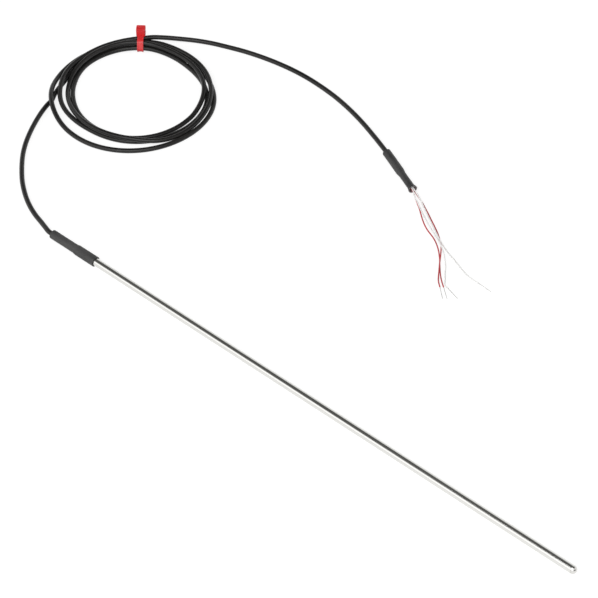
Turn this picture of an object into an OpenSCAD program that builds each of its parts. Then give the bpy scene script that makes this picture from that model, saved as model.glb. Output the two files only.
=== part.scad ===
// Cable-type resistance thermometer probe, laid flat with its cable coiled and tied.
// The sheath lies along X with its domed tip towards +X. The floor is Z = 0.

/* [Sheath] */
// Outside diameter of the sheath tube
sheath_d = 6; // [5:0.5:8]
// Wall of the sheath tube
sheath_wall = 0.5; // [0.35:0.05:0.7]
// Length of the sheath over its domed tip
sheath_l = 445; // [200:5:500]
// Depth of the rolled ring at the strain sleeve's edge
roll_depth = 0.2; // [0.1:0.05:0.3]
// Radius of the roller that forms the ring
roll_r = 1; // [0.6:0.1:1.5]
// Length of the end plug's spigot inside the tube
spigot_l = 4; // [2:0.5:8]
// Depth of the V-shaped groove beside the plug's weld
groove = 0.15; // [0.05:0.05:0.3]

/* [Sensing element] */
// Diameter of the ceramic element
element_d = 2.8; // [2:0.1:3]
// Length of the ceramic element
element_l = 20; // [10:1:30]
// Diameter of the element's two legs
leg_d = 0.4; // [0.2:0.05:0.5]
// Length of each leg outside the ceramic
leg_l = 8; // [6:0.5:14]
// Distance between the two legs where they leave the ceramic
leg_pitch = 1.2; // [0.9:0.1:1.4]
// Depth of the two bores that hold the legs
leg_bore_l = 3; // [1:0.5:6]
// Length of filler past the element, towards the cable
filler_past = 2; // [1:0.5:4]

/* [Splices] */
// Outside diameter of a crimp barrel
crimp_d = 1.6; // [1.4:0.1:1.7]
// Distance between the two crimps
crimp_pitch = 2.1; // [2.1:0.05:2.2]
// Wall of a crimp barrel
crimp_wall = 0.2; // [0.1:0.05:0.25]
// Length of a crimp barrel
crimp_l = 6; // [5:0.5:10]
// Wall of the insulating sleeve over a crimp
splice_wall = 0.15; // [0.1:0.01:0.18]
// How far an insulating sleeve reaches past each end of its crimp
splice_past = 1.5; // [0.5:0.25:1.5]

/* [Cable] */
// Outside diameter of the cable jacket
cable_d = 3.8; // [3.4:0.1:4]
// Outside diameter of one insulated core
core_d = 1; // [0.8:0.05:1.1]
// Diameter of a core's bare conductor
conductor_d = 0.5; // [0.3:0.05:0.5]
// Length of jacketed cable inside the sheath
entry_l = 20; // [10:1:40]
// Length of the epoxy ring in the sheath's mouth
potting_l = 12; // [5:1:20]
// Length stripped off each core for its crimp
strip_l = 7; // [6:0.5:9]
// Length of stripped core inside its crimp
lodge_l = 3; // [2:0.25:3.5]

/* [Strain relief] */
// Length of the strain sleeve
sleeve_l = 44; // [36:1:60]
// Length of the strain sleeve that grips the sheath
sleeve_grip = 18; // [12:1:26]
// Wall of the strain sleeve
sleeve_wall = 0.95; // [0.5:0.05:1.5]
// Wall of the inner liner on the cable
liner_wall = 0.65; // [0.3:0.05:0.8]
// Length over which the sleeve narrows behind the sheath's mouth
shoulder_l = 3; // [2:0.25:6]
// Rounding of the shrink sleeves' cut edges
cut_round = 0.25; // [0.1:0.05:0.3]

/* [Coil] */
// Radius of the coil over its outermost turn
coil_r = 66.5; // [60:0.5:67]
// Width of the bundle of turns away from the tie
coil_w = 20; // [14:0.5:24]
// Height of the stacked turns
coil_h = 9; // [9:0.1:10]
// Slope of the bundle's sides, in degrees
coil_slope = 60; // [50:1:75]
// Radius of the bend with which the inner turns close in on the tie
waist_r = 42; // [36:1:44]

/* [Cable tie] */
// Direction from the coil's middle to the tie, in degrees
tie_angle = 129; // [122:1:136]
// Width of the strap
strap_w = 4.8; // [3.6:0.1:5.5]
// Thickness of the strap
strap_t = 1.1; // [0.9:0.1:1.4]
// Width of the strap's two edge rails
rail_w = 0.8; // [0.5:0.1:1.2]
// Depth of the toothed channel between the rails
channel_depth = 0.4; // [0.2:0.05:0.5]
// Distance from tooth to tooth
tooth_pitch = 1.1; // [0.9:0.1:1.6]
// Play of the strap in the head's slot
slot_gap = 0.25; // [0.1:0.05:0.35]
// Rounding of the head's corners
head_round = 0.9; // [0.3:0.1:1.5]
// Width of the tie's head
head_w = 7.3; // [6.8:0.1:9]
// Length of the head across the bundle
head_l = 7; // [6:0.1:9]
// Height of the head off the bundle
head_h = 6.2; // [5:0.1:8]
// Length of the trimmed strap end beyond the head
stub_l = 0.8; // [0.3:0.1:4]

/* [End sleeve] */
// Length of the end sleeve
end_sleeve_l = 45; // [40:1:60]
// Length of the end sleeve that grips the jacket
end_grip = 23; // [15:1:28]
// Wall of the end sleeve
end_wall = 0.9; // [0.5:0.05:1.2]
// Wall of the liner inside the end sleeve
end_liner_wall = 0.55; // [0.3:0.05:0.8]
// Distance that the liner stops short of the open mouth
mouth_depth = 5; // [4:0.5:8]
// Length of the flared mouth
flare_l = 3.5; // [2:0.25:4]
// How far the mouth flares outwards
flare = 0.75; // [0:0.05:0.8]

/* [Wires] */
// Diameter of a tinned wire end
tinned_d = 0.6; // [0.4:0.05:0.7]
// Length of a tinned wire end
tinned_l = 12; // [8:1:20]

/* [Hidden] */
$fn = 96;
fine_fn = 32;
coil_fn = 180;
cord_sides = 8;
slip = 0.05;        // gap round a piece that slides into another
rest_gap = 0.3;     // gap between pieces that only lie against each other
cut = 1;            // how far a cutting shape runs past what it cuts
arc_steps = 6;
ramp_steps = 8;

// Stations along the probe, with the middle of its whole length at X = 0
sheath_r = sheath_d / 2;
bore_r = sheath_r - sheath_wall;
cable_r = cable_d / 2;
core_r = core_d / 2;
probe_l = sheath_l + sleeve_l - sleeve_grip;
tip_x = probe_l / 2;
dome_x = tip_x - sheath_r;
mouth_x = tip_x - sheath_l;
sleeve_x = mouth_x + sleeve_grip - sleeve_l;
sleeve_r = sheath_r + sleeve_wall;
liner_r = cable_r + liner_wall;
axis_z = sleeve_r;
element_r = element_d / 2;
element_x = dome_x - spigot_l - element_l;
crimp_x = element_x - leg_l;
crimp_start_x = crimp_x - crimp_l;
cable_end_x = mouth_x + entry_l;
core_end_x = crimp_start_x + lodge_l - strip_l;

// Four cores in a square, as they lie in the cable
core_at = core_r + slip;
crimp_r = crimp_d / 2;
conductor_r = conductor_d / 2;

// The bundle inside the tie: three cables side by side and two on top, upright on the outside
bundle_out = coil_r - cable_r;
bundle_in = bundle_out - 2 * cable_d;
tied = bundle_corners(bundle_in, bundle_out, strap_t + rest_gap + cable_r, coil_h - cable_r, 90);
in_angle = 90 + coil_slope;
strap_in = cable_r + rest_gap;
strap_out = strap_in + strap_t;
head_z = coil_h + rest_gap / 2;
strap_top = head_z + head_h + stub_l;
channel_w = strap_w - 2 * rail_w;
tooth_w = strap_w - rail_w;
tooth_h = channel_depth * 0.7;
pawl_root = [0.2, 0.6];     // where the pawl's root lies, as shares of the head's height
pawl_tip = [0.55, 0.7];     // where its tip lies
coil_at = [-298.3, 152.5];

// Cable from the strain sleeve to the coil
lead_route = [
    [sleeve_x, 0, axis_z], [sleeve_x - cable_d, 0, axis_z],
    [-245.3, 2, 3.3], [-252.3, 4.5, 2.5], [-260.8, 7.2, 2], [-269.8, 10.8, 1.9], [-278.5, 15.3, 1.9],
    [-286.9, 20.7, 1.9], [-295.1, 26.9, 1.9], [-302.8, 33.9, 1.9], [-310.1, 41.3, 1.9], [-316.9, 49.1, 1.9],
    [-322.9, 57.4, 1.9], [-328.1, 66, 1.9], [-332.8, 75, 1.9], [-336.9, 84, 1.9], [-340.3, 92.7, 1.9],
    [-342.6, 100.3, 1.9],
];

// Cable from the coil to the end sleeve
tail_route = [
    [-332.6, 209.9, 6.9], [-325.8, 216.9, 5.8], [-318.8, 223.3, 4.6], [-308.3, 232, 3], [-296.7, 239, 2.1],
    [-283.1, 244.4, 1.9], [-269.4, 249, 1.9], [-255.1, 252.6, 1.9], [-240.5, 255.2, 1.9], [-225.4, 256.8, 1.9],
    [-209.8, 257.1, 1.9], [-193.8, 256, 1.9], [-177.8, 253.8, 1.9], [-161.6, 250.1, 1.9], [-145.2, 245, 2.1],
    [-128.8, 238.6, 2.6], [-114.3, 232.3, 3.3], [-106.7, 228.8, 3.6],
];
end_angle = -25;

// Free stretches of the four wires, from just past the end sleeve
wire_routes = [
    [
        [-57.8, 206.8, 2.4], [-53.3, 205, 1.6], [-48.8, 202.7, 1], [-42.8, 199.3, 0.6], [-36.8, 195.5, 0.5],
        [-30.3, 191.4, 0.5], [-23.8, 187, 0.5], [-14.8, 179, 0.5], [-8.8, 171, 1.4], [-3.8, 163.5, 1.9],
        [1.2, 156.2, 1.7], [6, 149.6, 0.5], [10.8, 145.2, 0.5],
    ],
    [
        [-59.8, 205, 2.2], [-55.3, 201.9, 1.4], [-50.8, 198.8, 0.9], [-43.8, 193, 0.5], [-38.3, 188.8, 0.5],
        [-32.8, 185.5, 0.5], [-22.8, 181, 0.5], [-15.3, 175.8, 0.5], [-8.3, 169, 0.5], [-3.3, 163, 0.5],
        [2.7, 156, 0.5], [7.7, 151.1, 0.5], [12.9, 146.8, 0.5],
    ],
    [
        [-57.8, 206.3, 4.1], [-53.3, 203.9, 3.6], [-48.8, 201, 3], [-42.8, 197.4, 2.2], [-36.8, 193.5, 1.7],
        [-30.8, 189.7, 1.8], [-24.8, 186, 1.9], [-16.8, 181, 2], [-7.8, 177, 1], [2.2, 173.5, 0.5],
        [11.2, 169.9, 0.5], [19.2, 167.2, 0.5], [29.5, 166.3, 0.5],
    ],
    [
        [-59.8, 204.2, 3.9], [-54.8, 201.4, 3.2], [-49.8, 198.3, 2.4], [-43.3, 194.5, 1.9], [-36.8, 190.5, 1.8],
        [-30.8, 187.2, 1.8], [-24.8, 184, 2], [-14.8, 178, 2.9], [-5.8, 171, 3.1], [1.2, 164, 2],
        [5.5, 158.2, 0.9], [9.7, 152.8, 0.5], [12.6, 149, 0.5], [16.1, 147.9, 0.5],
    ],
];
end_at = tail_route[len(tail_route) - 1];
wire_places = [[1, -1], [-1, -1], [1, 1], [-1, 1]];
wires_r = core_at * sqrt(2) + core_r + slip;

// ---- Helpers ----

// Puts a shape that is drawn along +Z on the probe's axis, starting at station x
module along_probe(x) {
    translate([x, 0, axis_z]) rotate([0, 90, 0]) children();
}

// Puts a shape that is drawn along +Z on the end sleeve's axis, starting at distance u
module along_end(u) {
    translate(end_at) rotate([0, 0, end_angle]) translate([u, 0, 0]) rotate([0, 90, 0]) children();
}

// A hollow round bar along +Z
module pipe(l, outer, inner) {
    difference() {
        cylinder(h = l, r = outer);
        translate([0, 0, -cut]) cylinder(h = l + 2 * cut, r = inner);
    }
}

function unit(v) = v / norm(v);

// Direction of a route at its point i
function heading(route, i) =
    unit(route[min(i + 1, len(route) - 1)] - route[max(i - 1, 0)]);

// One ring of a swept tube round point p, square to direction d
function ring(p, d, r) =
    let (side = unit(cross([0, 0, 1], d)), up = cross(d, side))
    [for (k = [0 : cord_sides - 1])
        let (a = (k + 0.5) * 360 / cord_sides)
        p + r * (cos(a) * side + sin(a) * up)];

// A closed tube of radius r along a route
module swept_cord(route, r) {
    last = len(route) - 1;
    points = [for (i = [0 : last]) each ring(route[i], heading(route, i), r)];
    walls = [for (i = [0 : last - 1], k = [0 : cord_sides - 1])
        let (a = i * cord_sides + k, b = i * cord_sides + (k + 1) % cord_sides)
        [a, a + cord_sides, b + cord_sides, b]];
    start_cap = [for (k = [0 : cord_sides - 1]) k];
    end_cap = [for (k = [cord_sides - 1 : -1 : 0]) last * cord_sides + k];
    polyhedron(points = points, faces = concat(walls, [start_cap, end_cap]));
}

// Corner arc of an outline round centre c, from angle a to angle b
function arc(c, r, a, b) =
    [for (t = [0 : 1 / arc_steps : 1]) c + r * [cos(a + (b - a) * t), sin(a + (b - a) * t)]];

// Outline of a box with rounded corners, centred on the origin
function rounded_box(w, l, r) =
    concat(
        arc([w / 2 - r, l / 2 - r], r, 0, 90), arc([r - w / 2, l / 2 - r], r, 90, 180),
        arc([r - w / 2, r - l / 2], r, 180, 270), arc([w / 2 - r, r - l / 2], r, 270, 360)
    );

// Rounded outer corner where a shrink sleeve's wall begins (x, r) and where it stops
function start_edge(x, r) = arc([x + cut_round, r - cut_round], cut_round, 180, 90);
function stop_edge(x, r) = arc([x - cut_round, r - cut_round], cut_round, 90, 0);

// A smooth ramp from radius a at x0 to radius b at x1
function ramp(x0, x1, a, b) =
    [for (t = [0 : 1 / ramp_steps : 1]) [x0 + (x1 - x0) * t, a + (b - a) * (1 - cos(180 * t)) / 2]];

function reversed(list) = [for (i = [len(list) - 1 : -1 : 0]) list[i]];

// A tube between an outer and an inner line of [distance along, radius] points
module turned_wall(outer, inner) {
    rotate_extrude() polygon([for (p = concat(outer, reversed(inner))) [p[1], p[0]]]);
}

// ---- Sheath and sensing element ----

// Tube with a rolled ring, which the strain sleeve covers but for its last edge
module sheath_tube() {
    ring_half = sqrt(roll_r ^ 2 - (roll_r - roll_depth) ^ 2);
    color("silver") along_probe(mouth_x) difference() {
        pipe(dome_x - mouth_x, sheath_r, bore_r);
        translate([0, 0, sleeve_grip + rest_gap - ring_half]) rotate_extrude()
            translate([sheath_r + roll_r - roll_depth, 0]) circle(r = roll_r);
    }
}

// Domed plug with a fine groove beside its weld
module tip_plug() {
    color("silver") along_probe(dome_x) rotate_extrude() difference() {
        union() {
            intersection() {
                circle(r = sheath_r);
                square(sheath_r);
            }
            translate([0, -spigot_l]) square([bore_r - slip, spigot_l + sheath_r / 2]);
        }
        translate([sheath_r, groove]) rotate(45) square(groove * sqrt(2), center = true);
    }
}

module tip_filler() {
    color("whitesmoke") along_probe(element_x - filler_past)
        pipe(element_l + filler_past, bore_r, element_r);
}

module pt100_element() {
    color("ivory") along_probe(element_x) difference() {
        cylinder(h = element_l, r = element_r);
        for (side = [-1, 1])
            translate([0, side * leg_pitch / 2, -cut])
                cylinder(h = leg_bore_l + cut, r = leg_d / 2 + slip, $fn = fine_fn);
    }
}

// A leg runs from its bore in the ceramic into its crimp, where it lies on the barrel's wall
module element_leg(side) {
    near = side * leg_pitch / 2;
    far = side * crimp_pitch / 2;
    low = leg_d / 2 + slip + crimp_wall - crimp_r;
    points = [
        [element_x + leg_bore_l, near, 0], [element_x - leg_d, near, 0],
        [crimp_x + splice_past + leg_d, far, low], [crimp_start_x + lodge_l + leg_d, far, low],
    ];
    color("silver") swept_cord([for (p = points) p + [0, 0, axis_z]], leg_d / 2);
}

module crimp(side) {
    color("gold") along_probe(crimp_start_x) translate([0, side * crimp_pitch / 2, 0])
        pipe(crimp_l, crimp_r, crimp_r - crimp_wall);
}

module splice_sleeve(side) {
    color("white") along_probe(crimp_start_x - splice_past)
        translate([0, side * crimp_pitch / 2, 0])
            pipe(crimp_l + 2 * splice_past, crimp_r + splice_wall, crimp_r);
}

// An insulated core inside the sheath, stripped and lodged in the crimp on its side
module core(side, level) {
    lodge_y = side * crimp_pitch / 2;
    lodge_z = level * (conductor_r + slip);
    along_probe(cable_end_x) translate([-level * core_at, side * core_at, 0])
        cylinder(h = core_end_x - cable_end_x, r = core_r, $fn = fine_fn);
    points = [
        [core_end_x - core_r, side * core_at, level * core_at],
        [core_end_x + conductor_r, side * core_at, level * core_at],
        [crimp_start_x - conductor_r, lodge_y, lodge_z],
        [crimp_start_x + lodge_l, lodge_y, lodge_z],
    ];
    swept_cord([for (p = points) p + [0, 0, axis_z]], conductor_r);
}

module core_red(level) {
    color("firebrick") core(-1, level);
}

module core_white(level) {
    color("white") core(1, level);
}

// ---- Cable entry and strain relief ----

module cable_entry() {
    color([0.1, 0.1, 0.1]) along_probe(sleeve_x) cylinder(h = cable_end_x - sleeve_x, r = cable_r);
}

module potting_seal() {
    color("dimgray") along_probe(mouth_x) pipe(potting_l, bore_r, cable_r);
}

module cable_liner() {
    color([0.12, 0.12, 0.12]) along_probe(sleeve_x) pipe(mouth_x - sleeve_x, liner_r, cable_r);
}

// The sleeve is shrunk over the liner and the sheath, with a shoulder behind the sheath's mouth
module strain_sleeve() {
    mouth = sleeve_l - sleeve_grip;
    inner = concat(
        [[0, liner_r]],
        ramp(mouth - shoulder_l, mouth, liner_r, sheath_r),
        [[sleeve_l, sheath_r]]
    );
    outer = concat(
        start_edge(0, liner_r + sleeve_wall),
        ramp(mouth - shoulder_l, mouth, liner_r + sleeve_wall, sleeve_r),
        stop_edge(sleeve_l, sleeve_r)
    );
    color([0.2, 0.2, 0.2]) along_probe(sleeve_x) turned_wall(outer, inner);
}

// ---- Cable, coil and tie ----

module lead_cable() {
    color([0.1, 0.1, 0.1]) swept_cord(lead_route, cable_r);
}

module tail_cable() {
    color([0.1, 0.1, 0.1]) swept_cord(concat(tail_route, [end_point(end_grip, [0, 0])]), cable_r);
}

// Corners of the bundle's outline, as centres of its corner arcs, with the slope of its outer side
function bundle_corners(in, out, low, high, out_slope) =
    let (in_lean = (high - low) / tan(coil_slope), out_lean = (high - low) * cos(out_slope) / sin(out_slope))
    [[in, low], [out, low], [out - out_lean, high], [in + in_lean, high]];

// Outline of a bundle at distance r from the corner centres
function bundle_outline(corners, r, out_slope) = concat(
    arc(corners[0], r, in_angle - 360, -90), arc(corners[1], r, -90, 90 - out_slope),
    arc(corners[2], r, 90 - out_slope, 90), arc(corners[3], r, 90, in_angle)
);

// The strap's course at distance r from the corner centres, from its trimmed end round to the head
function strap_line(r) = concat(
    [[bundle_out + r, strap_top]],
    arc(tied[1], r, 0, -90), arc(tied[0], r, -90, in_angle - 360), arc(tied[3], r, in_angle, 90),
    [tied[2] + [strap_in / 2, r]]
);

// Turns the tie's own frame, with X outwards across the bundle, to its place on the coil
module at_tie() {
    translate([coil_at[0], coil_at[1], 0]) rotate([0, 0, tie_angle]) children();
}

// Extrudes an outline in the X-Z plane over width w, centred on that plane
module across(w) {
    rotate([90, 0, 0]) linear_extrude(height = w, center = true) children();
}

// Outer shape of the turns: a mound that closes in to a bundle under the tie
module cable_coil() {
    turns = bundle_corners(coil_r - coil_w + cable_r, bundle_out, cable_r, coil_h - cable_r, coil_slope);
    color([0.1, 0.1, 0.1]) difference() {
        translate([coil_at[0], coil_at[1], 0])
            rotate_extrude($fn = coil_fn) polygon(bundle_outline(turns, cable_r, coil_slope));
        at_tie() {
            translate([bundle_in - cable_r - waist_r, 0, -cut])
                cylinder(h = coil_h + 2 * cut, r = waist_r, $fn = coil_fn);
            across(strap_w + 2 * rest_gap) difference() {
                translate([coil_r - 2 * coil_w, -cut]) square([3 * coil_w, coil_h + 2 * cut]);
                polygon(bundle_outline(tied, cable_r, 90));
            }
        }
    }
}

// A run of teeth on the strap's channel, between two corner centres, facing angle
module teeth(from, to, angle) {
    way = to - from;
    count = floor(norm(way) / tooth_pitch);
    for (k = [0 : count - 1]) {
        at = from + way * (k + 0.5) / count;
        translate([at[0], 0, at[1]]) rotate([0, -angle, 0])
            translate([strap_out - 1.5 * channel_depth, -tooth_w / 2, -tooth_pitch / 4])
                cube([channel_depth / 2 + tooth_h, tooth_w, tooth_pitch / 2]);
    }
}

// The strap round the bundle: two rails with a toothed channel between them
module strap() {
    floor_r = strap_out - channel_depth;
    difference() {
        across(strap_w) polygon(concat(strap_line(strap_out), reversed(strap_line(strap_in))));
        across(channel_w) polygon(concat(strap_line(strap_out + cut), reversed(strap_line(floor_r))));
    }
    teeth([bundle_out, strap_top], tied[1], 0);
    teeth(tied[1], tied[0], -90);
    teeth(tied[0], tied[3], in_angle);
    teeth(tied[3], tied[2], 90);
}

// The head on the outer edge, with its slot and the pawl that holds the strap in it
module tie_head() {
    strap_at = bundle_out + (strap_in + strap_out) / 2;
    slot_in = bundle_out + strap_in - slot_gap;
    slot_out = bundle_out + strap_out + 3 * slot_gap;
    pawl_in = bundle_out + strap_out - channel_depth - slip;
    translate([0, 0, head_z]) {
        difference() {
            translate([strap_at, 0, 0]) linear_extrude(height = head_h)
                polygon(rounded_box(head_l, head_w, head_round));
            translate([slot_in, -strap_w / 2 - slot_gap, -cut])
                cube([slot_out - slot_in, strap_w + 2 * slot_gap, head_h + 2 * cut]);
        }
        across(channel_w - 2 * slip) polygon([
            [slot_out + slot_gap, head_h * pawl_root[0]], [slot_out + slot_gap, head_h * pawl_root[1]],
            [pawl_in, head_h * pawl_tip[1]], [pawl_in, head_h * pawl_tip[0]],
        ]);
    }
}

module cable_tie() {
    color("red") at_tie() {
        strap();
        tie_head();
    }
}

// ---- End sleeve and wires ----

// A point in the end sleeve, at distance u along it and at a place across it
function end_point(u, place) =
    end_at + u * [cos(end_angle), sin(end_angle), 0]
        + place[0] * [-sin(end_angle), cos(end_angle), 0] + [0, 0, place[1]];

function wire_route(i) = concat(
    [for (u = [end_grip, end_sleeve_l]) end_point(u, core_at * wire_places[i])],
    wire_routes[i]
);

// The liner covers the jacket's end and the roots of the wires
module end_liner() {
    liner_end = end_sleeve_l - mouth_depth;
    shoulder_end = end_grip + shoulder_l;
    inner = concat([[0, cable_r]], ramp(end_grip, shoulder_end, cable_r, wires_r), [[liner_end, wires_r]]);
    outer = [for (p = inner) p + [0, end_liner_wall]];
    color([0.12, 0.12, 0.12]) along_end(0) turned_wall(outer, inner);
}

module end_sleeve() {
    shoulder_end = end_grip + shoulder_l;
    jacket_r = cable_r + end_liner_wall;
    roots_r = wires_r + end_liner_wall;
    inner = concat(
        [[0, jacket_r]],
        ramp(end_grip, shoulder_end, jacket_r, roots_r),
        ramp(end_sleeve_l - flare_l, end_sleeve_l, roots_r, roots_r + flare)
    );
    outer = concat(
        start_edge(0, jacket_r + end_wall),
        ramp(end_grip, shoulder_end, jacket_r + end_wall, roots_r + end_wall),
        ramp(end_sleeve_l - flare_l, end_sleeve_l - cut_round, roots_r + end_wall, roots_r + end_wall + flare),
        [[end_sleeve_l, roots_r + end_wall + flare - cut_round]]
    );
    color([0.2, 0.2, 0.2]) along_end(0) turned_wall(outer, inner);
}

module wire(i) {
    swept_cord(wire_route(i), core_r);
}

module wire_red(i) {
    color("firebrick") wire(i);
}

module wire_white(i) {
    color("white") wire(i);
}

// The stripped end of wire i, twisted and tinned to a round tip
module tinned_end(i) {
    route = wire_route(i);
    last = len(route) - 1;
    way = heading(route, last);
    color("lightgray") translate(route[last]) rotate([0, 90, atan2(way[1], way[0])]) {
        cylinder(h = tinned_l - tinned_d / 2, r = tinned_d / 2, $fn = fine_fn);
        translate([0, 0, tinned_l - tinned_d / 2]) sphere(r = tinned_d / 2, $fn = fine_fn);
    }
}

sheath_tube();
tip_plug();
tip_filler();
pt100_element();
element_leg(-1);  // element_leg_1
element_leg(1);  // element_leg_2
crimp(-1);  // crimp_1
crimp(1);  // crimp_2
splice_sleeve(-1);  // splice_sleeve_1
splice_sleeve(1);  // splice_sleeve_2
core_red(-1);  // core_red_1
core_red(1);  // core_red_2
core_white(-1);  // core_white_1
core_white(1);  // core_white_2
cable_entry();
potting_seal();
cable_liner();
strain_sleeve();
lead_cable();
cable_coil();
tail_cable();
cable_tie();
end_liner();
end_sleeve();
wire_red(0);  // wire_red_1
wire_red(1);  // wire_red_2
wire_white(2);  // wire_white_1
wire_white(3);  // wire_white_2
tinned_end(0);  // tinned_end_1
tinned_end(1);  // tinned_end_2
tinned_end(2);  // tinned_end_3
tinned_end(3);  // tinned_end_4
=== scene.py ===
import math

import bpy
import bmesh
import numpy
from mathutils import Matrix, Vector, noise


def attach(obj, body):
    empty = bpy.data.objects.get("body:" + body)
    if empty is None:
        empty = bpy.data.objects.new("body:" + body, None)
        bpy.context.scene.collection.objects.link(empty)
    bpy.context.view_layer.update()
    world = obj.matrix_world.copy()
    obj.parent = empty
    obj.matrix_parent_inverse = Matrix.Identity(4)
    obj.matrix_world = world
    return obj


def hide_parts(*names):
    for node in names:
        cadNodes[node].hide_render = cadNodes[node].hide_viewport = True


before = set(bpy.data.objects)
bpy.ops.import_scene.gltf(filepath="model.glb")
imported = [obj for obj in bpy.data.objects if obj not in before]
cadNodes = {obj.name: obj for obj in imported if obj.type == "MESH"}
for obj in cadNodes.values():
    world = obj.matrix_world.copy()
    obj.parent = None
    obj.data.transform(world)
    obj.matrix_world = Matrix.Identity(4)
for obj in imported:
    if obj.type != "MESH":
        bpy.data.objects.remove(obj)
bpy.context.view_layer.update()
mm = 0.001      # every size below is in millimetres, and the scene is in metres
mergeWithin = 0.001
uvUnit = 10     # a cord's UV map counts centimetres

cameraSetup = {
    "place": (663.4, -767.3, 1145.1),
    "turn": (44.0, 0.0, 40.74),     # degrees
    "lens": 134.2,
    "sensor": 36.0,
}

bpy.ops.object.camera_add(
    location=Vector(cameraSetup["place"]) * mm,
    rotation=[math.radians(turn) for turn in cameraSetup["turn"]],
)
camera = bpy.context.object
camera.name = "camera"
camera.data.lens = cameraSetup["lens"]
camera.data.sensor_width = cameraSetup["sensor"]
bpy.context.scene.camera = camera
print("camera placed")


def startClean():
    if bpy.context.mode != "OBJECT":
        bpy.ops.object.mode_set(mode="OBJECT")
    bpy.ops.object.select_all(action="DESELECT")


def onlySelect(piece):
    startClean()
    piece.select_set(True)
    bpy.context.view_layer.objects.active = piece


def applyModifiers(piece):
    onlySelect(piece)
    for modifier in list(piece.modifiers):
        bpy.ops.object.modifier_apply(modifier=modifier.name)


def outwards(piece):
    onlySelect(piece)
    bpy.ops.object.mode_set(mode="EDIT")
    bpy.ops.mesh.select_all(action="SELECT")
    bpy.ops.mesh.remove_doubles(threshold=mergeWithin * mm)
    bpy.ops.mesh.normals_make_consistent(inside=False)
    bpy.ops.object.mode_set(mode="OBJECT")


def smoothLine(knots, spacing):
    # a curve through the knots, with a point about every spacing
    knots = [Vector(knot) for knot in knots]
    before = knots[0] * 2 - knots[1]
    after = knots[-1] * 2 - knots[-2]
    ring = [before] + knots + [after]
    line = []
    for i in range(1, len(ring) - 2):
        start, end = ring[i], ring[i + 1]
        span = (end - start).length
        startPull = (end - ring[i - 1]) * span / ((end - start).length + (start - ring[i - 1]).length)
        endPull = (ring[i + 2] - start) * span / ((end - start).length + (ring[i + 2] - end).length)
        count = max(2, round(span / spacing))
        for k in range(count):
            t = k / count
            line.append(
                start * (2 * t**3 - 3 * t**2 + 1) + startPull * (t**3 - 2 * t**2 + t)
                + end * (3 * t**2 - 2 * t**3) + endPull * (t**3 - t**2)
            )
    line.append(knots[-1])
    return line


def lineLength(line):
    return sum((b - a).length for a, b in zip(line, line[1:]))


def roundCord(name, line, radius, sides):
    # a closed round cord along a line, with its seam underneath and a UV map along it
    shape = bmesh.new()
    uvMap = shape.loops.layers.uv.new("along")
    rings = []
    travelled = [0.0]
    for i, point in enumerate(line):
        way = (line[min(i + 1, len(line) - 1)] - line[max(i - 1, 0)]).normalized()
        side = Vector((0, 0, 1)).cross(way).normalized()
        up = way.cross(side)
        rings.append([
            shape.verts.new((point - up * radius * math.cos(a) + side * radius * math.sin(a)) * mm)
            for a in [2 * math.pi * k / sides for k in range(sides)]
        ])
        if i:
            travelled.append(travelled[-1] + (point - line[i - 1]).length)
    around = 2 * math.pi * radius / sides
    for i in range(len(rings) - 1):
        for k in range(sides):
            n = (k + 1) % sides
            face = shape.faces.new((rings[i][k], rings[i][n], rings[i + 1][n], rings[i + 1][k]))
            face.smooth = True
            corners = [(i, k), (i, k + 1), (i + 1, k + 1), (i + 1, k)]
            for loop, (row, column) in zip(face.loops, corners):
                loop[uvMap].uv = (travelled[row] / uvUnit, column * around / uvUnit)
    shape.faces.new(rings[0][::-1])
    shape.faces.new(rings[-1])
    bmesh.ops.recalc_face_normals(shape, faces=shape.faces)
    mesh = bpy.data.meshes.new(name)
    shape.to_mesh(mesh)
    shape.free()
    cord = bpy.data.objects.new(name, mesh)
    bpy.context.collection.objects.link(cord)
    return cord


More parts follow.
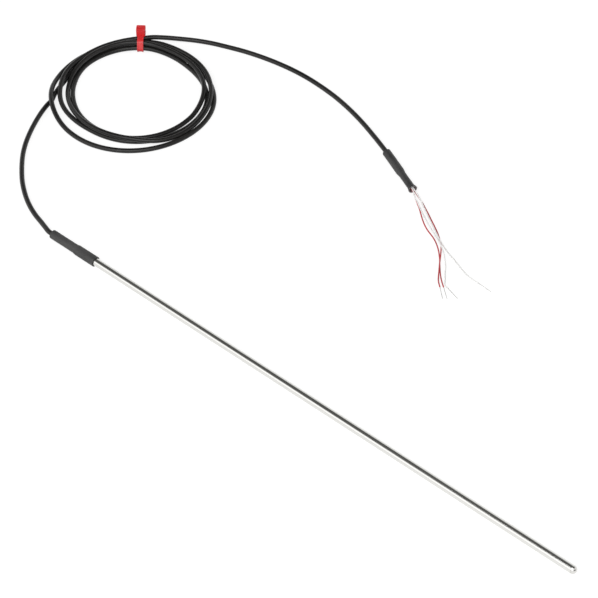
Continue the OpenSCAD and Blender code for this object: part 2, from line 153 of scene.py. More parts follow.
cableSetup = {
    "diameter": 3.8,
    "sides": 20,
    "spacing": 2.0,
    "coilMiddle": (-298.3, 152.5),
    "startAngle": 225,      # degrees, where the first turn begins, seen from above
    # from the strain sleeve to the coil
    "lead": [
        (-235.5, 0, 3.95), (-239.3, 0, 3.95), (-245.3, 2, 3.3), (-252.3, 4.5, 2.5), (-260.8, 7.2, 2),
        (-269.8, 10.8, 1.9), (-278.5, 15.3, 1.9), (-286.9, 20.7, 1.9), (-295.1, 26.9, 1.9),
        (-302.8, 33.9, 1.9), (-310.1, 41.3, 1.9), (-316.9, 49.1, 1.9), (-322.9, 57.4, 1.9),
        (-328.1, 66, 1.9), (-332.8, 75, 1.9), (-336.9, 84, 1.9), (-340.3, 92.7, 1.9),
        (-342.6, 100.3, 1.9),
    ],
    # how far the cable has been wound, in degrees, with its radius and height there
    "stations": [
        (0, 64.5, 1.9), (20, 59, 1.9), (50, 59.5, 1.9), (96, 61, 3.3), (135, 58.6, 1.9), (165, 60, 1.9),
        (195, 62.8, 1.9), (240, 63, 1.9), (300, 64, 1.9), (335, 64, 2.4), (360, 65, 5.6),
        (385, 65.2, 2.4), (425, 64.7, 1.9), (456, 64.5, 3.3), (485, 60.5, 5.6), (520, 60, 5.6),
        (565, 59.5, 4.4), (605, 59, 3.3), (640, 53, 5.7), (675, 50.5, 5.6), (705, 50.5, 3.6),
        (735, 53.5, 2), (760, 56.5, 4.8), (816, 59, 7.1), (840, 56.7, 5.6), (870, 55.3, 5.6),
        (900, 54.3, 5.6), (930, 51.5, 2), (990, 49.5, 1.9), (1050, 47, 1.9), (1080, 48, 1.9),
        (1100, 50.3, 1.9), (1130, 55.5, 1.9), (1150, 57.2, 2.4), (1176, 57, 3.3), (1225, 53.5, 1.9),
        (1275, 57, 1.9), (1335, 54.5, 1.9), (1400, 51.5, 1.9), (1440, 58, 3.4), (1465, 60, 5.6),
        (1495, 61.4, 5.3), (1520, 62.6, 6.4), (1536, 64.2, 7.1),
    ],
    "windStep": 4,          # degrees between the points of a turn
    "settleRounds": 200,
    "neighbours": 6,        # points this near each other along the cable never push
    "push": 0.35,           # share of an overlap that is pushed out in a round
    "evening": 0.5,         # how far a moved point is drawn between its neighbours
    "keep": 0.97,           # share of its move that a point keeps from round to round
    # from the tie to the end sleeve
    "tail": [
        (-332.6, 209.9, 6.9), (-325.8, 216.9, 5.8), (-318.8, 223.3, 4.6), (-308.3, 232, 3),
        (-296.7, 239, 2.1), (-283.1, 244.4, 1.9), (-269.4, 249, 1.9), (-255.1, 252.6, 1.9),
        (-240.5, 255.2, 1.9), (-225.4, 256.8, 1.9), (-209.8, 257.1, 1.9), (-193.8, 256, 1.9),
        (-177.8, 253.8, 1.9), (-161.6, 250.1, 1.9), (-145.2, 245, 2.1), (-128.8, 238.6, 2.6),
        (-114.3, 232.3, 3.3), (-106.7, 228.8, 3.6), (-85.85, 219.08, 3.6),
    ],
}


def windTurns(setup):
    # winds the coil through its stations, with a smooth radius and height between them
    stations = numpy.array(setup["stations"], dtype=float)
    wound = numpy.arange(0, stations[-1, 0] + 1, setup["windStep"])
    spans = numpy.diff(stations[:, 0])
    place = numpy.clip(numpy.searchsorted(stations[:, 0], wound, side="right") - 1, 0, len(spans) - 1)
    t = (wound - stations[place, 0]) / spans[place]
    found = []
    for values in (stations[:, 1], stations[:, 2]):
        slopes = numpy.diff(values) / spans
        pulls = numpy.concatenate([
            slopes[:1],
            (slopes[:-1] * spans[1:] + slopes[1:] * spans[:-1]) / (spans[1:] + spans[:-1]),
            slopes[-1:],
        ])
        found.append(
            (2 * t**3 - 3 * t**2 + 1) * values[place] + (t**3 - 2 * t**2 + t) * spans[place] * pulls[place]
            + (3 * t**2 - 2 * t**3) * values[place + 1] + (t**3 - t**2) * spans[place] * pulls[place + 1]
        )
    radius, height = found
    angle = numpy.radians(setup["startAngle"] - wound)
    return numpy.stack([
        setup["coilMiddle"][0] + radius * numpy.cos(angle),
        setup["coilMiddle"][1] + radius * numpy.sin(angle),
        numpy.maximum(height, setup["diameter"] / 2),
    ], axis=1)


def settleTurns(wanted, setup):
    # lets the turns push each other aside until they lie against each other and on the floor
    diameter = setup["diameter"]
    turns = wanted.copy()
    order = numpy.arange(len(turns))
    apart = numpy.abs(order[:, None] - order[None]) > setup["neighbours"]
    for settleRound in range(setup["settleRounds"]):
        offset = turns[:, None] - turns[None]
        distance = numpy.linalg.norm(offset, axis=2) + 1e-9     # never nought
        overlap = numpy.where(apart & (distance < diameter), diameter - distance, 0)
        turns += (offset / distance[:, :, None] * overlap[:, :, None]).sum(axis=1) * setup["push"]
        moved = turns - wanted
        moved[1:-1] += setup["evening"] * ((moved[:-2] + moved[2:]) / 2 - moved[1:-1])
        turns = wanted + moved * setup["keep"]
        turns[:, 2] = numpy.maximum(turns[:, 2], diameter / 2)
        turns[[0, -1]] = wanted[[0, -1]]
    return turns


coilTurns = settleTurns(windTurns(cableSetup), cableSetup)
cableKnots = cableSetup["lead"] + [tuple(point) for point in coilTurns.tolist()] + cableSetup["tail"]
cableLine = smoothLine(cableKnots, cableSetup["spacing"])
cable = roundCord("cable", cableLine, cableSetup["diameter"] / 2, cableSetup["sides"])
print("cable laid, %.0f mm" % lineLength(cableLine))

strainSleeveSetup = {
    "start": (-235.5, 0, 3.95),
    "angle": 0,                 # degrees, the way it points, seen from above
    "length": 44,
    "shoulder": (23, 26),       # where it widens onto the sheath
    "radii": (3.5, 3.95),       # before and after the shoulder
    "wall": 0.84,
    "sides": 56,
    "step": 1.0,
    "unevenness": 0.1,
    "edgeRound": 0.2,
}
endSleeveSetup = {
    "start": (-106.7, 228.8, 3.6),
    "angle": -25,
    "length": 45,
    "shoulder": (23, 28),       # where it sinks past the end of the jacket
    "radii": (3.35, 2.8),
    "flare": (41.3, 45.01),     # from where to where the mouth opens
    "flareBy": 0.62,
    "wall": 0.8,
    "sides": 56,
    "step": 1.0,
    "unevenness": 0.12,
    "edgeRound": 0.2,
    "mouthWave": 0.14,          # how far the open rim wanders in and out
    "mouthSlant": 0.35,         # how far it wanders along the sleeve
    "rimLightFrom": 38,             # the bore and the cut rim carry a paler colour from here to the mouth: painted light
    "rimFacing": 0.6,           # a face that looks this much along the sleeve is part of the cut rim
}
# the same for both sleeves
shrinkSetup = {
    "broadWaves": 0.35,         # how close together the wall's broad and fine waves come
    "fineWaves": 1.1,
    "fineShare": 0.6,           # the fine waves' height against the broad ones'
    # round the open mouth: number of waves, where they begin, and their share
    "mouthWaves": ((2, 0.8, 1), (5, 0, 0.6)),
    "slantFrom": 2,
    "edgeSegments": 3,
    "sharpFrom": 50,            # degrees, edges that turn more than this are cut edges
}


def smoothShare(value, low, high):
    # 0 up to low, 1 from high on, and an even rise between
    t = min(1, max(0, (value - low) / (high - low)))
    return t * t * (3 - 2 * t)


def sleeveRadius(setup, along):
    before, after = setup["radii"]
    radius = before + (after - before) * smoothShare(along, *setup["shoulder"])
    if "flare" in setup:
        radius += smoothShare(along, *setup["flare"]) * setup["flareBy"]
    return radius


def shrinkSleeve(name, setup):
    # a ring drawn out along the sleeve, made a little uneven, then given its wall and its cut edges
    start = Vector(setup["start"])
    turn = math.radians(setup["angle"])
    way = Vector((math.cos(turn), math.sin(turn), 0))
    startClean()
    bpy.ops.mesh.primitive_circle_add(
        vertices=setup["sides"], radius=sleeveRadius(setup, 0) * mm, fill_type="NOTHING",
        location=start * mm, rotation=(0, math.radians(90), turn),
    )
    sleeve = bpy.context.object
    sleeve.name = name
    bpy.ops.object.mode_set(mode="EDIT")
    bpy.ops.mesh.select_all(action="SELECT")
    steps = round(setup["length"] / setup["step"])
    for k in range(1, steps + 1):
        before, after = [setup["length"] * i / steps for i in (k - 1, k)]
        share = sleeveRadius(setup, after) / sleeveRadius(setup, before)
        bpy.ops.mesh.extrude_region_move(TRANSFORM_OT_translate={"value": way * (after - before) * mm})
        bpy.ops.transform.resize(value=(share, share, share), center_override=(start + way * after) * mm)
    bpy.ops.object.mode_set(mode="OBJECT")
    bpy.ops.object.transform_apply(location=True, rotation=True, scale=True)
    for vertex in sleeve.data.vertices:
        spot = vertex.co / mm
        along = (spot - start).dot(way)
        middle = start + way * along
        out = (spot - middle).normalized()
        waves = noise.noise(spot * shrinkSetup["broadWaves"])
        waves += shrinkSetup["fineShare"] * noise.noise(spot * shrinkSetup["fineWaves"])
        rise = (waves - 1) / 2 * setup["unevenness"]
        if "flare" in setup:
            around = math.atan2(out.z, out.dot(Vector((-way.y, way.x, 0))))
            opened = smoothShare(along, setup["flare"][0], setup["length"])
            ripple = sum(
                share * math.sin(count * around + begin) for count, begin, share in shrinkSetup["mouthWaves"]
            )
            rise += opened * setup["mouthWave"] * ripple
            spot += way * opened * setup["mouthSlant"] * math.sin(around + shrinkSetup["slantFrom"])
        vertex.co = (spot + out * rise) * mm
    outwards(sleeve)
    wall = sleeve.modifiers.new("wall", "SOLIDIFY")
    wall.thickness = setup["wall"] * mm
    wall.offset = -1
    edges = sleeve.modifiers.new("edges", "BEVEL")
    edges.width = setup["edgeRound"] * mm
    edges.segments = shrinkSetup["edgeSegments"]
    edges.limit_method = "ANGLE"
    edges.angle_limit = math.radians(shrinkSetup["sharpFrom"])
    applyModifiers(sleeve)
    onlySelect(sleeve)
    bpy.ops.object.shade_smooth_by_angle(angle=math.radians(shrinkSetup["sharpFrom"]))
    return sleeve


strainSleeve = shrinkSleeve("strainSleeve", strainSleeveSetup)
endSleeve = shrinkSleeve("endSleeve", endSleeveSetup)
print("sleeves shrunk on")

wireSetup = {
    "diameter": 1.0,
    "sides": 12,
    "spacing": 1.0,
    "fromJacket": 23,       # where the jacket stops, along the end sleeve
    "placePitch": 0.55,     # half the distance between neighbouring wires at the mouth
    # each with its CAD nodes, its place among the four, across and up, and its route beyond the mouth
    "wires": [
        {
            "name": "wireRed1", "cad": "wire_red_1", "end": "tinned_end_1",
            "place": (1, -1), "length": 125.0,
            "route": [
                (-57.8, 206.8, 2.4), (-53.3, 205, 1.6), (-48.8, 202.7, 1), (-42.8, 199.3, 0.6),
                (-36.8, 195.5, 0.5), (-30.3, 191.4, 0.5), (-23.8, 187, 0.5), (-14.8, 179, 0.5),
                (-8.8, 171, 1.4), (-3.8, 163.5, 1.9), (1.2, 156.2, 1.7), (6, 149.6, 0.5),
                (10.8, 145.2, 0.5),
            ],
        },
        {
            "name": "wireRed2", "cad": "wire_red_2", "end": "tinned_end_2",
            "place": (-1, -1), "length": 124.0,
            "route": [
                (-59.8, 205, 2.2), (-55.3, 201.9, 1.4), (-50.8, 198.8, 0.9), (-43.8, 193, 0.5),
                (-38.3, 188.8, 0.5), (-32.8, 185.5, 0.5), (-22.8, 181, 0.5), (-15.3, 175.8, 0.5),
                (-8.3, 169, 0.5), (-3.3, 163, 0.5), (2.7, 156, 0.5), (7.7, 151.1, 0.5),
                (12.9, 146.8, 0.5),
            ],
        },
        {
            "name": "wireWhite1", "cad": "wire_white_1", "end": "tinned_end_3",
            "place": (1, 1), "length": 128.0,
            "route": [
                (-57.8, 206.3, 4.1), (-53.3, 203.9, 3.6), (-48.8, 201, 3), (-42.8, 197.4, 2.2),
                (-36.8, 193.5, 1.7), (-30.8, 189.7, 1.8), (-24.8, 186, 1.9), (-16.8, 181, 2),
                (-7.8, 177, 1), (2.2, 173.5, 0.5), (11.2, 169.9, 0.5), (19.2, 167.2, 0.5),
                (29.5, 166.3, 0.5),
            ],
        },
        {
            "name": "wireWhite2", "cad": "wire_white_2", "end": "tinned_end_4",
            "place": (-1, 1), "length": 126.0,
            "route": [
                (-59.8, 204.2, 3.9), (-54.8, 201.4, 3.2), (-49.8, 198.3, 2.4), (-43.3, 194.5, 1.9),
                (-36.8, 190.5, 1.8), (-30.8, 187.2, 1.8), (-24.8, 184, 2), (-14.8, 178, 2.9),
                (-5.8, 171, 3.1), (1.2, 164, 2), (5.5, 158.2, 0.9), (9.7, 152.8, 0.5), (12.6, 149, 0.5),
                (16.1, 147.9, 0.5),
            ],
        },
    ],
}
tinnedSetup = {
    "length": 12.0,
    "strand": 0.2,          # diameter of one of the seven strands
    "pitch": 7.0,           # length of a whole twist
    "spacing": 0.4,
    "hidden": 2.0,          # how far the strands start inside the insulation
    "outer": 6,             # strands round the middle one
    "shorter": (0, 0.15, 0.3),      # how much each strand in turn ends short of the longest
}


def inEndSleeve(distance, across, up):
    # a place in the end sleeve, by its distance along it and its offsets from the middle
    angle = math.radians(endSleeveSetup["angle"])
    way = Vector((math.cos(angle), math.sin(angle), 0))
    side = Vector((-math.sin(angle), math.cos(angle), 0))
    return Vector(endSleeveSetup["start"]) + way * distance + side * across + Vector((0, 0, up))


def twistedEnd(name, start, way):
    # bare strands twisted round a middle one
    setup = tinnedSetup
    side = Vector((0, 0, 1)).cross(way).normalized()
    up = way.cross(side)
    lay = bpy.data.curves.new(name, "CURVE")
    lay.dimensions = "3D"
    lay.bevel_depth = setup["strand"] / 2 * mm
    lay.bevel_resolution = 1
    lay.use_fill_caps = True
    steps = round((setup["length"] + setup["hidden"]) / setup["spacing"])
    for strand in range(setup["outer"] + 1):
        out = 0 if strand == setup["outer"] else setup["strand"]
        spline = lay.splines.new("POLY")
        spline.points.add(steps)
        shorter = setup["shorter"][strand % len(setup["shorter"])]
        reach = setup["length"] + setup["hidden"] - shorter
        for k in range(steps + 1):
            along = reach * k / steps
            angle = 2 * math.pi * (strand / setup["outer"] + along / setup["pitch"])
            spot = start + way * (along - setup["hidden"])
            spot += side * out * math.cos(angle) + up * out * math.sin(angle)
            spline.points[k].co = (*(spot * mm), 1)
    piece = bpy.data.objects.new(name, lay)
    bpy.context.collection.objects.link(piece)
    onlySelect(piece)
    bpy.ops.object.convert(target="MESH")
    bpy.ops.object.shade_smooth()
    return piece


for wire in wireSetup["wires"]:
    across, up = [share * wireSetup["placePitch"] for share in wire["place"]]
    roots = [
        inEndSleeve(distance, across, up) for distance in (wireSetup["fromJacket"], endSleeveSetup["length"])
    ]
    line = smoothLine(roots + wire["route"], wireSetup["spacing"])
    for point in line:
        point.z = max(point.z, wireSetup["diameter"] / 2)
    wire["line"] = line
    wire["mouth"] = roots[1]
    wire["piece"] = roundCord(wire["name"], line, wireSetup["diameter"] / 2, wireSetup["sides"])
    way = (Vector(wire["route"][-1]) - Vector(wire["route"][-2])).normalized()
    wire["tinned"] = twistedEnd(wire["name"] + "End", line[-1], way)
    print("%s laid, %.0f mm" % (wire["name"], lineLength(line)))

grainSetup = {
    "grainDetail": 5,
    "grainRoughness": 0.6,
    "patchShare": 0.07,         # the patches' fineness against the grain's
    "patchDetail": 3,
    "speckEdge": (0.22, 0.08),      # how far out from its middle a speck fades in
}
finishSetup = {
    "patchRange": (0.35, 0.65),     # the part of the patches that runs from dark to light
    "grainRange": (0.3, 0.7),       # the part of the grain that runs from smooth to rough
    "specks": 0.1,                  # for a look that names none
    "depth": 0.05,
}


def addNode(tree, kind, **values):
    node = tree.nodes.new(kind)
    for name, value in values.items():
        setattr(node, name, value)
    return node


def setRange(node, side, ends):
    for name, value in zip(("Min", "Max"), ends):
        node.inputs[side + " " + name].default_value = value


def grainGroup():
    # fine grain, broad patches and scattered specks, each from 0 to 1
    group = bpy.data.node_groups.new("surfaceGrain", "ShaderNodeTree")
    group.interface.new_socket("Place", in_out="INPUT", socket_type="NodeSocketVector")
    group.interface.new_socket("Fineness", in_out="INPUT", socket_type="NodeSocketFloat")
    for name in ("Grain", "Patches", "Specks"):
        group.interface.new_socket(name, in_out="OUTPUT", socket_type="NodeSocketFloat")
    entry = group.nodes.new("NodeGroupInput")
    leave = group.nodes.new("NodeGroupOutput")
    grain = group.nodes.new("ShaderNodeTexNoise")
    grain.inputs["Detail"].default_value = grainSetup["grainDetail"]
    grain.inputs["Roughness"].default_value = grainSetup["grainRoughness"]
    broad = addNode(group, "ShaderNodeMath", operation="MULTIPLY")
    broad.inputs[1].default_value = grainSetup["patchShare"]
    patches = group.nodes.new("ShaderNodeTexNoise")
    patches.inputs["Detail"].default_value = grainSetup["patchDetail"]
    specks = group.nodes.new("ShaderNodeTexVoronoi")
    sharp = addNode(group, "ShaderNodeMapRange", interpolation_type="SMOOTHSTEP")
    setRange(sharp, "From", grainSetup["speckEdge"])
    link = group.links.new
    link(entry.outputs["Place"], grain.inputs["Vector"])
    link(entry.outputs["Place"], patches.inputs["Vector"])
    link(entry.outputs["Place"], specks.inputs["Vector"])
    link(entry.outputs["Fineness"], grain.inputs["Scale"])
    link(entry.outputs["Fineness"], broad.inputs[0])
    link(broad.outputs[0], patches.inputs["Scale"])
    link(entry.outputs["Fineness"], specks.inputs["Scale"])
    link(specks.outputs["Distance"], sharp.inputs["Value"])
    link(grain.outputs["Fac"], leave.inputs["Grain"])
    link(patches.outputs["Fac"], leave.inputs["Patches"])
    link(sharp.outputs["Result"], leave.inputs["Specks"])
    return group


surfaceGrain = grainGroup()


def finish(name, look):
    # a principled material whose colour, roughness and bump all come from the grain
    material = bpy.data.materials.new(name)
    material.use_nodes = True
    tree = material.node_tree
    link = tree.links.new
    shader = tree.nodes["Principled BSDF"]
    if look.get("along"):
        source = addNode(tree, "ShaderNodeUVMap", uv_map="along").outputs["UV"]
    else:
        source = tree.nodes.new("ShaderNodeTexCoord").outputs["Object"]
    turned = tree.nodes.new("ShaderNodeMapping")
    turned.inputs["Rotation"].default_value[2] = math.radians(look.get("turn", 0))
    turned.inputs["Scale"].default_value = look["stretch"]
    grain = tree.nodes.new("ShaderNodeGroup")
    grain.node_tree = surfaceGrain
    grain.inputs["Fineness"].default_value = look["fineness"]
    link(source, turned.inputs["Vector"])
    link(turned.outputs["Vector"], grain.inputs["Place"])

    tone = addNode(tree, "ShaderNodeMix", data_type="RGBA")
    tone.inputs["A"].default_value = (*look["dark"], 1)
    tone.inputs["B"].default_value = (*look["light"], 1)
    patches = tree.nodes.new("ShaderNodeMapRange")
    setRange(patches, "From", finishSetup["patchRange"])
    link(grain.outputs["Patches"], patches.inputs["Value"])
    link(patches.outputs["Result"], tone.inputs["Factor"])
    specked = addNode(tree, "ShaderNodeMix", data_type="RGBA")
    specked.inputs["B"].default_value = (*look.get("speck", look["light"]), 1)
    amount = addNode(tree, "ShaderNodeMath", operation="MULTIPLY")
    amount.inputs[1].default_value = look.get("specks", finishSetup["specks"])
    link(grain.outputs["Specks"], amount.inputs[0])
    link(amount.outputs[0], specked.inputs["Factor"])
    link(tone.outputs["Result"], specked.inputs["A"])
    link(specked.outputs["Result"], shader.inputs["Base Color"])

    rough = tree.nodes.new("ShaderNodeMapRange")
    setRange(rough, "From", finishSetup["grainRange"])
    setRange(rough, "To", look["rough"])
    link(grain.outputs["Grain"], rough.inputs["Value"])
    link(rough.outputs["Result"], shader.inputs["Roughness"])

    bump = tree.nodes.new("ShaderNodeBump")
    bump.inputs["Strength"].default_value = look["bump"]
    bump.inputs["Distance"].default_value = look.get("depth", finishSetup["depth"]) * mm
    link(grain.outputs["Grain"], bump.inputs["Height"])
    link(bump.outputs["Normal"], shader.inputs["Normal"])
    for socket, value in look.get("sockets", {}).items():
        shader.inputs[socket].default_value = value
    return material


# a look's stretch and fineness count cells per metre on an object, or per centimetre along a cord
looks = {
    "drawnSteel": {
        "dark": (0.7, 0.695, 0.67), "light": (0.79, 0.785, 0.765), "rough": (0.15, 0.25),
        "stretch": (12, 900, 900), "fineness": 1.0, "bump": 0.25, "depth": 0.01,
        "speck": (0.5, 0.49, 0.46), "specks": 0.12, "sockets": {"Metallic": 1.0},
    },
    "weldedTip": {
        "dark": (0.6, 0.59, 0.56), "light": (0.75, 0.745, 0.725), "rough": (0.14, 0.26),
        "stretch": (1, 1, 1), "fineness": 900, "bump": 0.3, "depth": 0.02,
        "speck": (0.45, 0.43, 0.4), "specks": 0.15, "sockets": {"Metallic": 1.0},
    },
    "cableJacket": {
        "along": True, "dark": (0.004, 0.004, 0.004), "light": (0.02, 0.0188, 0.018),
        "rough": (0.2, 0.42), "stretch": (1.2, 8, 1), "fineness": 3, "bump": 0.6, "depth": 0.06,
        "speck": (0.1, 0.095, 0.09), "specks": 0.4, "sockets": {"Specular IOR Level": 0.34},
    },
    "jacketStub": {
        "dark": (0.011, 0.011, 0.012), "light": (0.02, 0.02, 0.021), "rough": (0.26, 0.42),
        "stretch": (150, 900, 900), "fineness": 3, "bump": 0.35, "depth": 0.04,
        "sockets": {"Specular IOR Level": 0.35},
    },
    "shrinkSleeve": {
        "dark": (0.034, 0.034, 0.0345), "light": (0.08, 0.079, 0.078), "rough": (0.5, 0.72),
        "stretch": (0.35, 1, 1), "fineness": 1100, "bump": 0.6, "depth": 0.08,
        "speck": (0.13, 0.13, 0.13), "specks": 0.3, "sockets": {"Specular IOR Level": 0.4},
    },
    # a paler colour for the end sleeve's cut rim and bore at the mouth: painted light
    "paintedRimLight": {
        "dark": (0.13, 0.12, 0.122), "light": (0.23, 0.205, 0.21), "rough": (0.5, 0.7),
        "stretch": (1, 1, 1), "fineness": 1300, "bump": 0.5, "depth": 0.08,
        "speck": (0.22, 0.2, 0.2), "specks": 0.3,
    },
    "linerBlack": {
        "dark": (0.02, 0.02, 0.021), "light": (0.035, 0.035, 0.036), "rough": (0.45, 0.6),
        "stretch": (1, 1, 1), "fineness": 700, "bump": 0.4,
    },
    "redInsulation": {
        "along": True, "dark": (0.46, 0.03, 0.038), "light": (0.6, 0.05, 0.058), "rough": (0.28, 0.42),
        "stretch": (1, 4, 1), "fineness": 8, "bump": 0.25, "depth": 0.02,
        "speck": (0.6, 0.2, 0.18), "specks": 0.15,
    },
    "whiteInsulation": {
        "along": True, "dark": (0.84, 0.835, 0.82), "light": (0.9, 0.895, 0.885), "rough": (0.28, 0.42),
        "stretch": (1, 4, 1), "fineness": 8, "bump": 0.25, "depth": 0.02,
        "speck": (0.5, 0.49, 0.46), "specks": 0.12,
    },
    "redCore": {
        "dark": (0.46, 0.03, 0.038), "light": (0.6, 0.05, 0.058), "rough": (0.28, 0.42),
        "stretch": (0.4, 1, 1), "fineness": 900, "bump": 0.25, "depth": 0.02,
    },
    "whiteCore": {
        "dark": (0.7, 0.69, 0.66), "light": (0.8, 0.795, 0.775), "rough": (0.28, 0.42),
        "stretch": (0.4, 1, 1), "fineness": 900, "bump": 0.25, "depth": 0.02,
    },
    "tieNylon": {
        "dark": (0.68, 0.026, 0.03), "light": (0.8, 0.045, 0.05), "rough": (0.3, 0.48),
        "stretch": (1, 1, 1), "fineness": 800, "bump": 0.3, "depth": 0.03,
        "speck": (0.85, 0.25, 0.25), "specks": 0.12,
        "sockets": {"Subsurface Weight": 0.25, "Subsurface Scale": 0.001},
    },
    "tinnedStrand": {
        "dark": (0.8, 0.795, 0.78), "light": (0.9, 0.895, 0.885), "rough": (0.46, 0.62),
        "stretch": (1, 1, 1), "fineness": 1500, "bump": 0.3, "depth": 0.01,
        "speck": (0.42, 0.4, 0.36), "specks": 0.15, "sockets": {"Metallic": 1.0},
    },
    "legMetal": {
        "dark": (0.6, 0.58, 0.53), "light": (0.7, 0.68, 0.63), "rough": (0.2, 0.35),
        "stretch": (0.1, 1, 1), "fineness": 1500, "bump": 0.2, "depth": 0.01, "sockets": {"Metallic": 1.0},
    },
    "crimpBrass": {
        "dark": (0.62, 0.42, 0.16), "light": (0.74, 0.54, 0.24), "rough": (0.22, 0.4),
        "stretch": (0.2, 1, 1), "fineness": 1200, "bump": 0.3, "depth": 0.02, "sockets": {"Metallic": 1.0},
    },
    "elementCeramic": {
        "dark": (0.72, 0.69, 0.6), "light": (0.8, 0.77, 0.68), "rough": (0.35, 0.55),
        "stretch": (1, 1, 1), "fineness": 900, "bump": 0.3, "depth": 0.02,
    },
    "powderFiller": {
        "dark": (0.66, 0.65, 0.62), "light": (0.78, 0.77, 0.74), "rough": (0.75, 0.95),
        "stretch": (1, 1, 1), "fineness": 2500, "bump": 0.8, "depth": 0.06, "specks": 0.4,
    },
    "clearSleeve": {
        "dark": (0.66, 0.65, 0.6), "light": (0.76, 0.75, 0.7), "rough": (0.12, 0.25),
        "stretch": (0.4, 1, 1), "fineness": 700, "bump": 0.2, "depth": 0.02,
        "sockets": {"Transmission Weight": 0.5},
    },
    "epoxySeal": {
        "dark": (0.05, 0.05, 0.052), "light": (0.09, 0.088, 0.085), "rough": (0.12, 0.3),
        "stretch": (1, 1, 1), "fineness": 500, "bump": 0.4, "depth": 0.1, "specks": 0.2,
    },
}
# the end sleeve's shrink: a darker copy of the same shrink finish, painted shade
looks["endShrink"] = dict(
    looks["shrinkSleeve"], turn=-endSleeveSetup["angle"], dark=(0.012, 0.012, 0.0125),
    light=(0.044, 0.044, 0.044), rough=(0.36, 0.6),
)
materials = {name: finish(name, look) for name, look in looks.items()}

# the CAD nodes that stay, by the start of their names
cadFinishes = {
    "sheath_tube": "drawnSteel", "tip_plug": "weldedTip", "tip_filler": "powderFiller",
    "pt100_element": "elementCeramic", "element_leg": "legMetal", "crimp": "crimpBrass",
    "splice_sleeve": "clearSleeve", "core_red": "redCore", "core_white": "whiteCore",
    "cable_entry": "jacketStub", "potting_seal": "epoxySeal", "cable_liner": "linerBlack",
    "end_liner": "linerBlack", "cable_tie": "tieNylon",
}
for nameStart, finishName in cadFinishes.items():
    for nodeName, node in cadNodes.items():
        if nodeName.startswith(nameStart):
            for holder in node.material_slots:
                holder.material = materials[finishName]


def wear(piece, material):
    piece.data.materials.clear()
    piece.data.materials.append(material)


def paintRimLight(sleeve, material):
    # the bore and the cut rim at the mouth get a paler colour: painted light on the cut rim and the bore
    # near the mouth
    sleeve.data.materials.append(material)
    root = inEndSleeve(0, 0, 0)
    way = inEndSleeve(1, 0, 0) - root
    for face in sleeve.data.polygons:
        spot = face.center / mm - root
        along = spot.dot(way)
        out = spot - way * along
        isInside = face.normal.dot(out) < 0 or face.normal.dot(way) > endSleeveSetup["rimFacing"]
        if isInside and along > endSleeveSetup["rimLightFrom"]:
            face.material_index = 1


wear(cable, materials["cableJacket"])
wear(strainSleeve, materials["shrinkSleeve"])
wear(endSleeve, materials["endShrink"])
paintRimLight(endSleeve, materials["paintedRimLight"])
for wire in wireSetup["wires"]:
    wear(wire["piece"], materials["redInsulation" if "Red" in wire["name"] else "whiteInsulation"])
    wear(wire["tinned"], materials["tinnedStrand"])
print("finishes made")

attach(strainSleeve, "root")
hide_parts("strain_sleeve")
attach(endSleeve, "root")
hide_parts("end_sleeve")
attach(cable, "root")
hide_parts("lead_cable", "cable_coil", "tail_cable")
for wire in wireSetup["wires"]:
    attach(wire["piece"], "root")
    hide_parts(wire["cad"])
    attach(wire["tinned"], "root")
    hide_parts(wire["end"])
print("cords declared")

floorSetup = {
    "size": 6000,
    "colour": (0.32, 0.32, 0.32),
    "seenGlow": 0.79,       # added where the camera or a reflection sees the floor
}
startClean()
bpy.ops.mesh.primitive_plane_add(size=floorSetup["size"] * mm, location=(0, 0, 0))
floor = bpy.context.object
floor.name = "floor"

floorMaterial = bpy.data.materials.new("floorWhite")
floorMaterial.use_nodes = True
floorTree = floorMaterial.node_tree
floorTree.nodes.clear()
output = floorTree.nodes.new("ShaderNodeOutputMaterial")
paper = floorTree.nodes.new("ShaderNodeBsdfDiffuse")
paper.inputs["Color"].default_value = (*floorSetup["colour"], 1)
glow = floorTree.nodes.new("ShaderNodeEmission")
floorRays = floorTree.nodes.new("ShaderNodeLightPath")
mirrored = addNode(floorTree, "ShaderNodeMath", operation="MAXIMUM")
seen = addNode(floorTree, "ShaderNodeMath", operation="MAXIMUM")
strength = addNode(floorTree, "ShaderNodeMath", operation="MULTIPLY")
strength.inputs[1].default_value = floorSetup["seenGlow"]
both = floorTree.nodes.new("ShaderNodeAddShader")
floorTree.links.new(floorRays.outputs["Is Glossy Ray"], mirrored.inputs[0])
floorTree.links.new(floorRays.outputs["Is Transmission Ray"], mirrored.inputs[1])
floorTree.links.new(floorRays.outputs["Is Camera Ray"], seen.inputs[0])
floorTree.links.new(mirrored.outputs[0], seen.inputs[1])
floorTree.links.new(seen.outputs[0], strength.inputs[0])
floorTree.links.new(strength.outputs[0], glow.inputs["Strength"])
floorTree.links.new(paper.outputs[0], both.inputs[0])
floorTree.links.new(glow.outputs[0], both.inputs[1])
floorTree.links.new(both.outputs[0], output.inputs["Surface"])
floor.data.materials.append(floorMaterial)

# soft cards in the sky, out of the camera's sight: up in degrees from +Y over the sheath, along as the
# share of a direction that lies on X, each with its rising and its falling edge
studioSetup = {
    "bright": (1.0, 1.0, 1.0),
    "dark": (0.092, 0.092, 0.088),
    "white": (1.45, 1.45, 1.45),
    "cardAlong": ((-0.85, -0.7), (0.5, 0.65)),
    "darkCardUp": ((26, 50), (117, 129)),
    "whiteCardUp": ((128, 136), (158, 174)),        # low on the near side, under the dark one
    "endCardAlong": ((0.8, 0.93), (1.1, 1.2)),      # a dark one off the tip's end
}
world = bpy.data.worlds.new("studio")
bpy.context.scene.world = world
world.use_nodes = True
skyTree = world.node_tree
background = skyTree.nodes["Background"]
direction = skyTree.nodes.new("ShaderNodeTexCoord")
parts = skyTree.nodes.new("ShaderNodeSeparateXYZ")
aroundSheath = addNode(skyTree, "ShaderNodeMath", operation="ARCTAN2")
skyTree.links.new(direction.outputs["Generated"], parts.inputs[0])
skyTree.links.new(parts.outputs["Z"], aroundSheath.inputs[0])
skyTree.links.new(parts.outputs["Y"], aroundSheath.inputs[1])


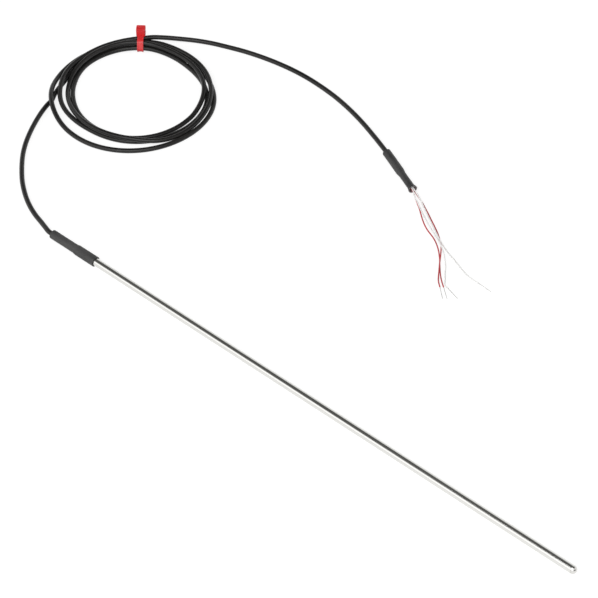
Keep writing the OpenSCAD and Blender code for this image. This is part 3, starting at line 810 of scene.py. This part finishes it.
def skyWindow(value, rises, falls):
    # 1 between the two soft edges, 0 outside them
    window = addNode(skyTree, "ShaderNodeMath", operation="SUBTRACT")
    for place, ends in enumerate((rises, falls)):
        edge = addNode(skyTree, "ShaderNodeMapRange", interpolation_type="SMOOTHSTEP")
        setRange(edge, "From", ends)
        skyTree.links.new(value, edge.inputs["Value"])
        skyTree.links.new(edge.outputs["Result"], window.inputs[place])
    return window.outputs[0]


def skyCard(up):
    # a long card over the sheath
    card = addNode(skyTree, "ShaderNodeMath", operation="MULTIPLY")
    upEdges = [[math.radians(angle) for angle in edge] for edge in up]
    skyTree.links.new(skyWindow(aroundSheath.outputs[0], *upEdges), card.inputs[0])
    skyTree.links.new(skyWindow(parts.outputs["X"], *studioSetup["cardAlong"]), card.inputs[1])
    return card.outputs[0]


def skyLayer(colour, share):
    # a colour that covers what is linked to its A by the share
    layer = addNode(skyTree, "ShaderNodeMix", data_type="RGBA")
    layer.inputs["B"].default_value = (*colour, 1)
    skyTree.links.new(share, layer.inputs["Factor"])
    return layer


darkCards = addNode(skyTree, "ShaderNodeMath", operation="MAXIMUM")
skyTree.links.new(skyCard(studioSetup["darkCardUp"]), darkCards.inputs[0])
skyTree.links.new(skyWindow(parts.outputs["X"], *studioSetup["endCardAlong"]), darkCards.inputs[1])
skyRays = skyTree.nodes.new("ShaderNodeLightPath")
darkened = skyLayer(studioSetup["dark"], darkCards.outputs[0])
darkened.inputs["A"].default_value = (*studioSetup["bright"], 1)
whitened = skyLayer(studioSetup["white"], skyCard(studioSetup["whiteCardUp"]))
seenSky = skyLayer(studioSetup["bright"], skyRays.outputs["Is Camera Ray"])
skyTree.links.new(darkened.outputs["Result"], whitened.inputs["A"])
skyTree.links.new(whitened.outputs["Result"], seenSky.inputs["A"])
skyTree.links.new(seenSky.outputs["Result"], background.inputs["Color"])

lampSetup = {
    "place": (450, -820, 1480),
    "aim": (-60, 100, 0),
    "size": 1300,
    "power": 16,
}
startClean()
bpy.ops.object.light_add(type="AREA", location=Vector(lampSetup["place"]) * mm)
keyPanel = bpy.context.object
keyPanel.name = "keyPanel"
keyPanel.data.size = lampSetup["size"] * mm
keyPanel.data.energy = lampSetup["power"]
lampWay = Vector(lampSetup["aim"]) - Vector(lampSetup["place"])
keyPanel.rotation_euler = lampWay.to_track_quat("-Z", "Y").to_euler()
bpy.context.scene.view_settings.view_transform = "Standard"
print("floor, surroundings and lamp set")
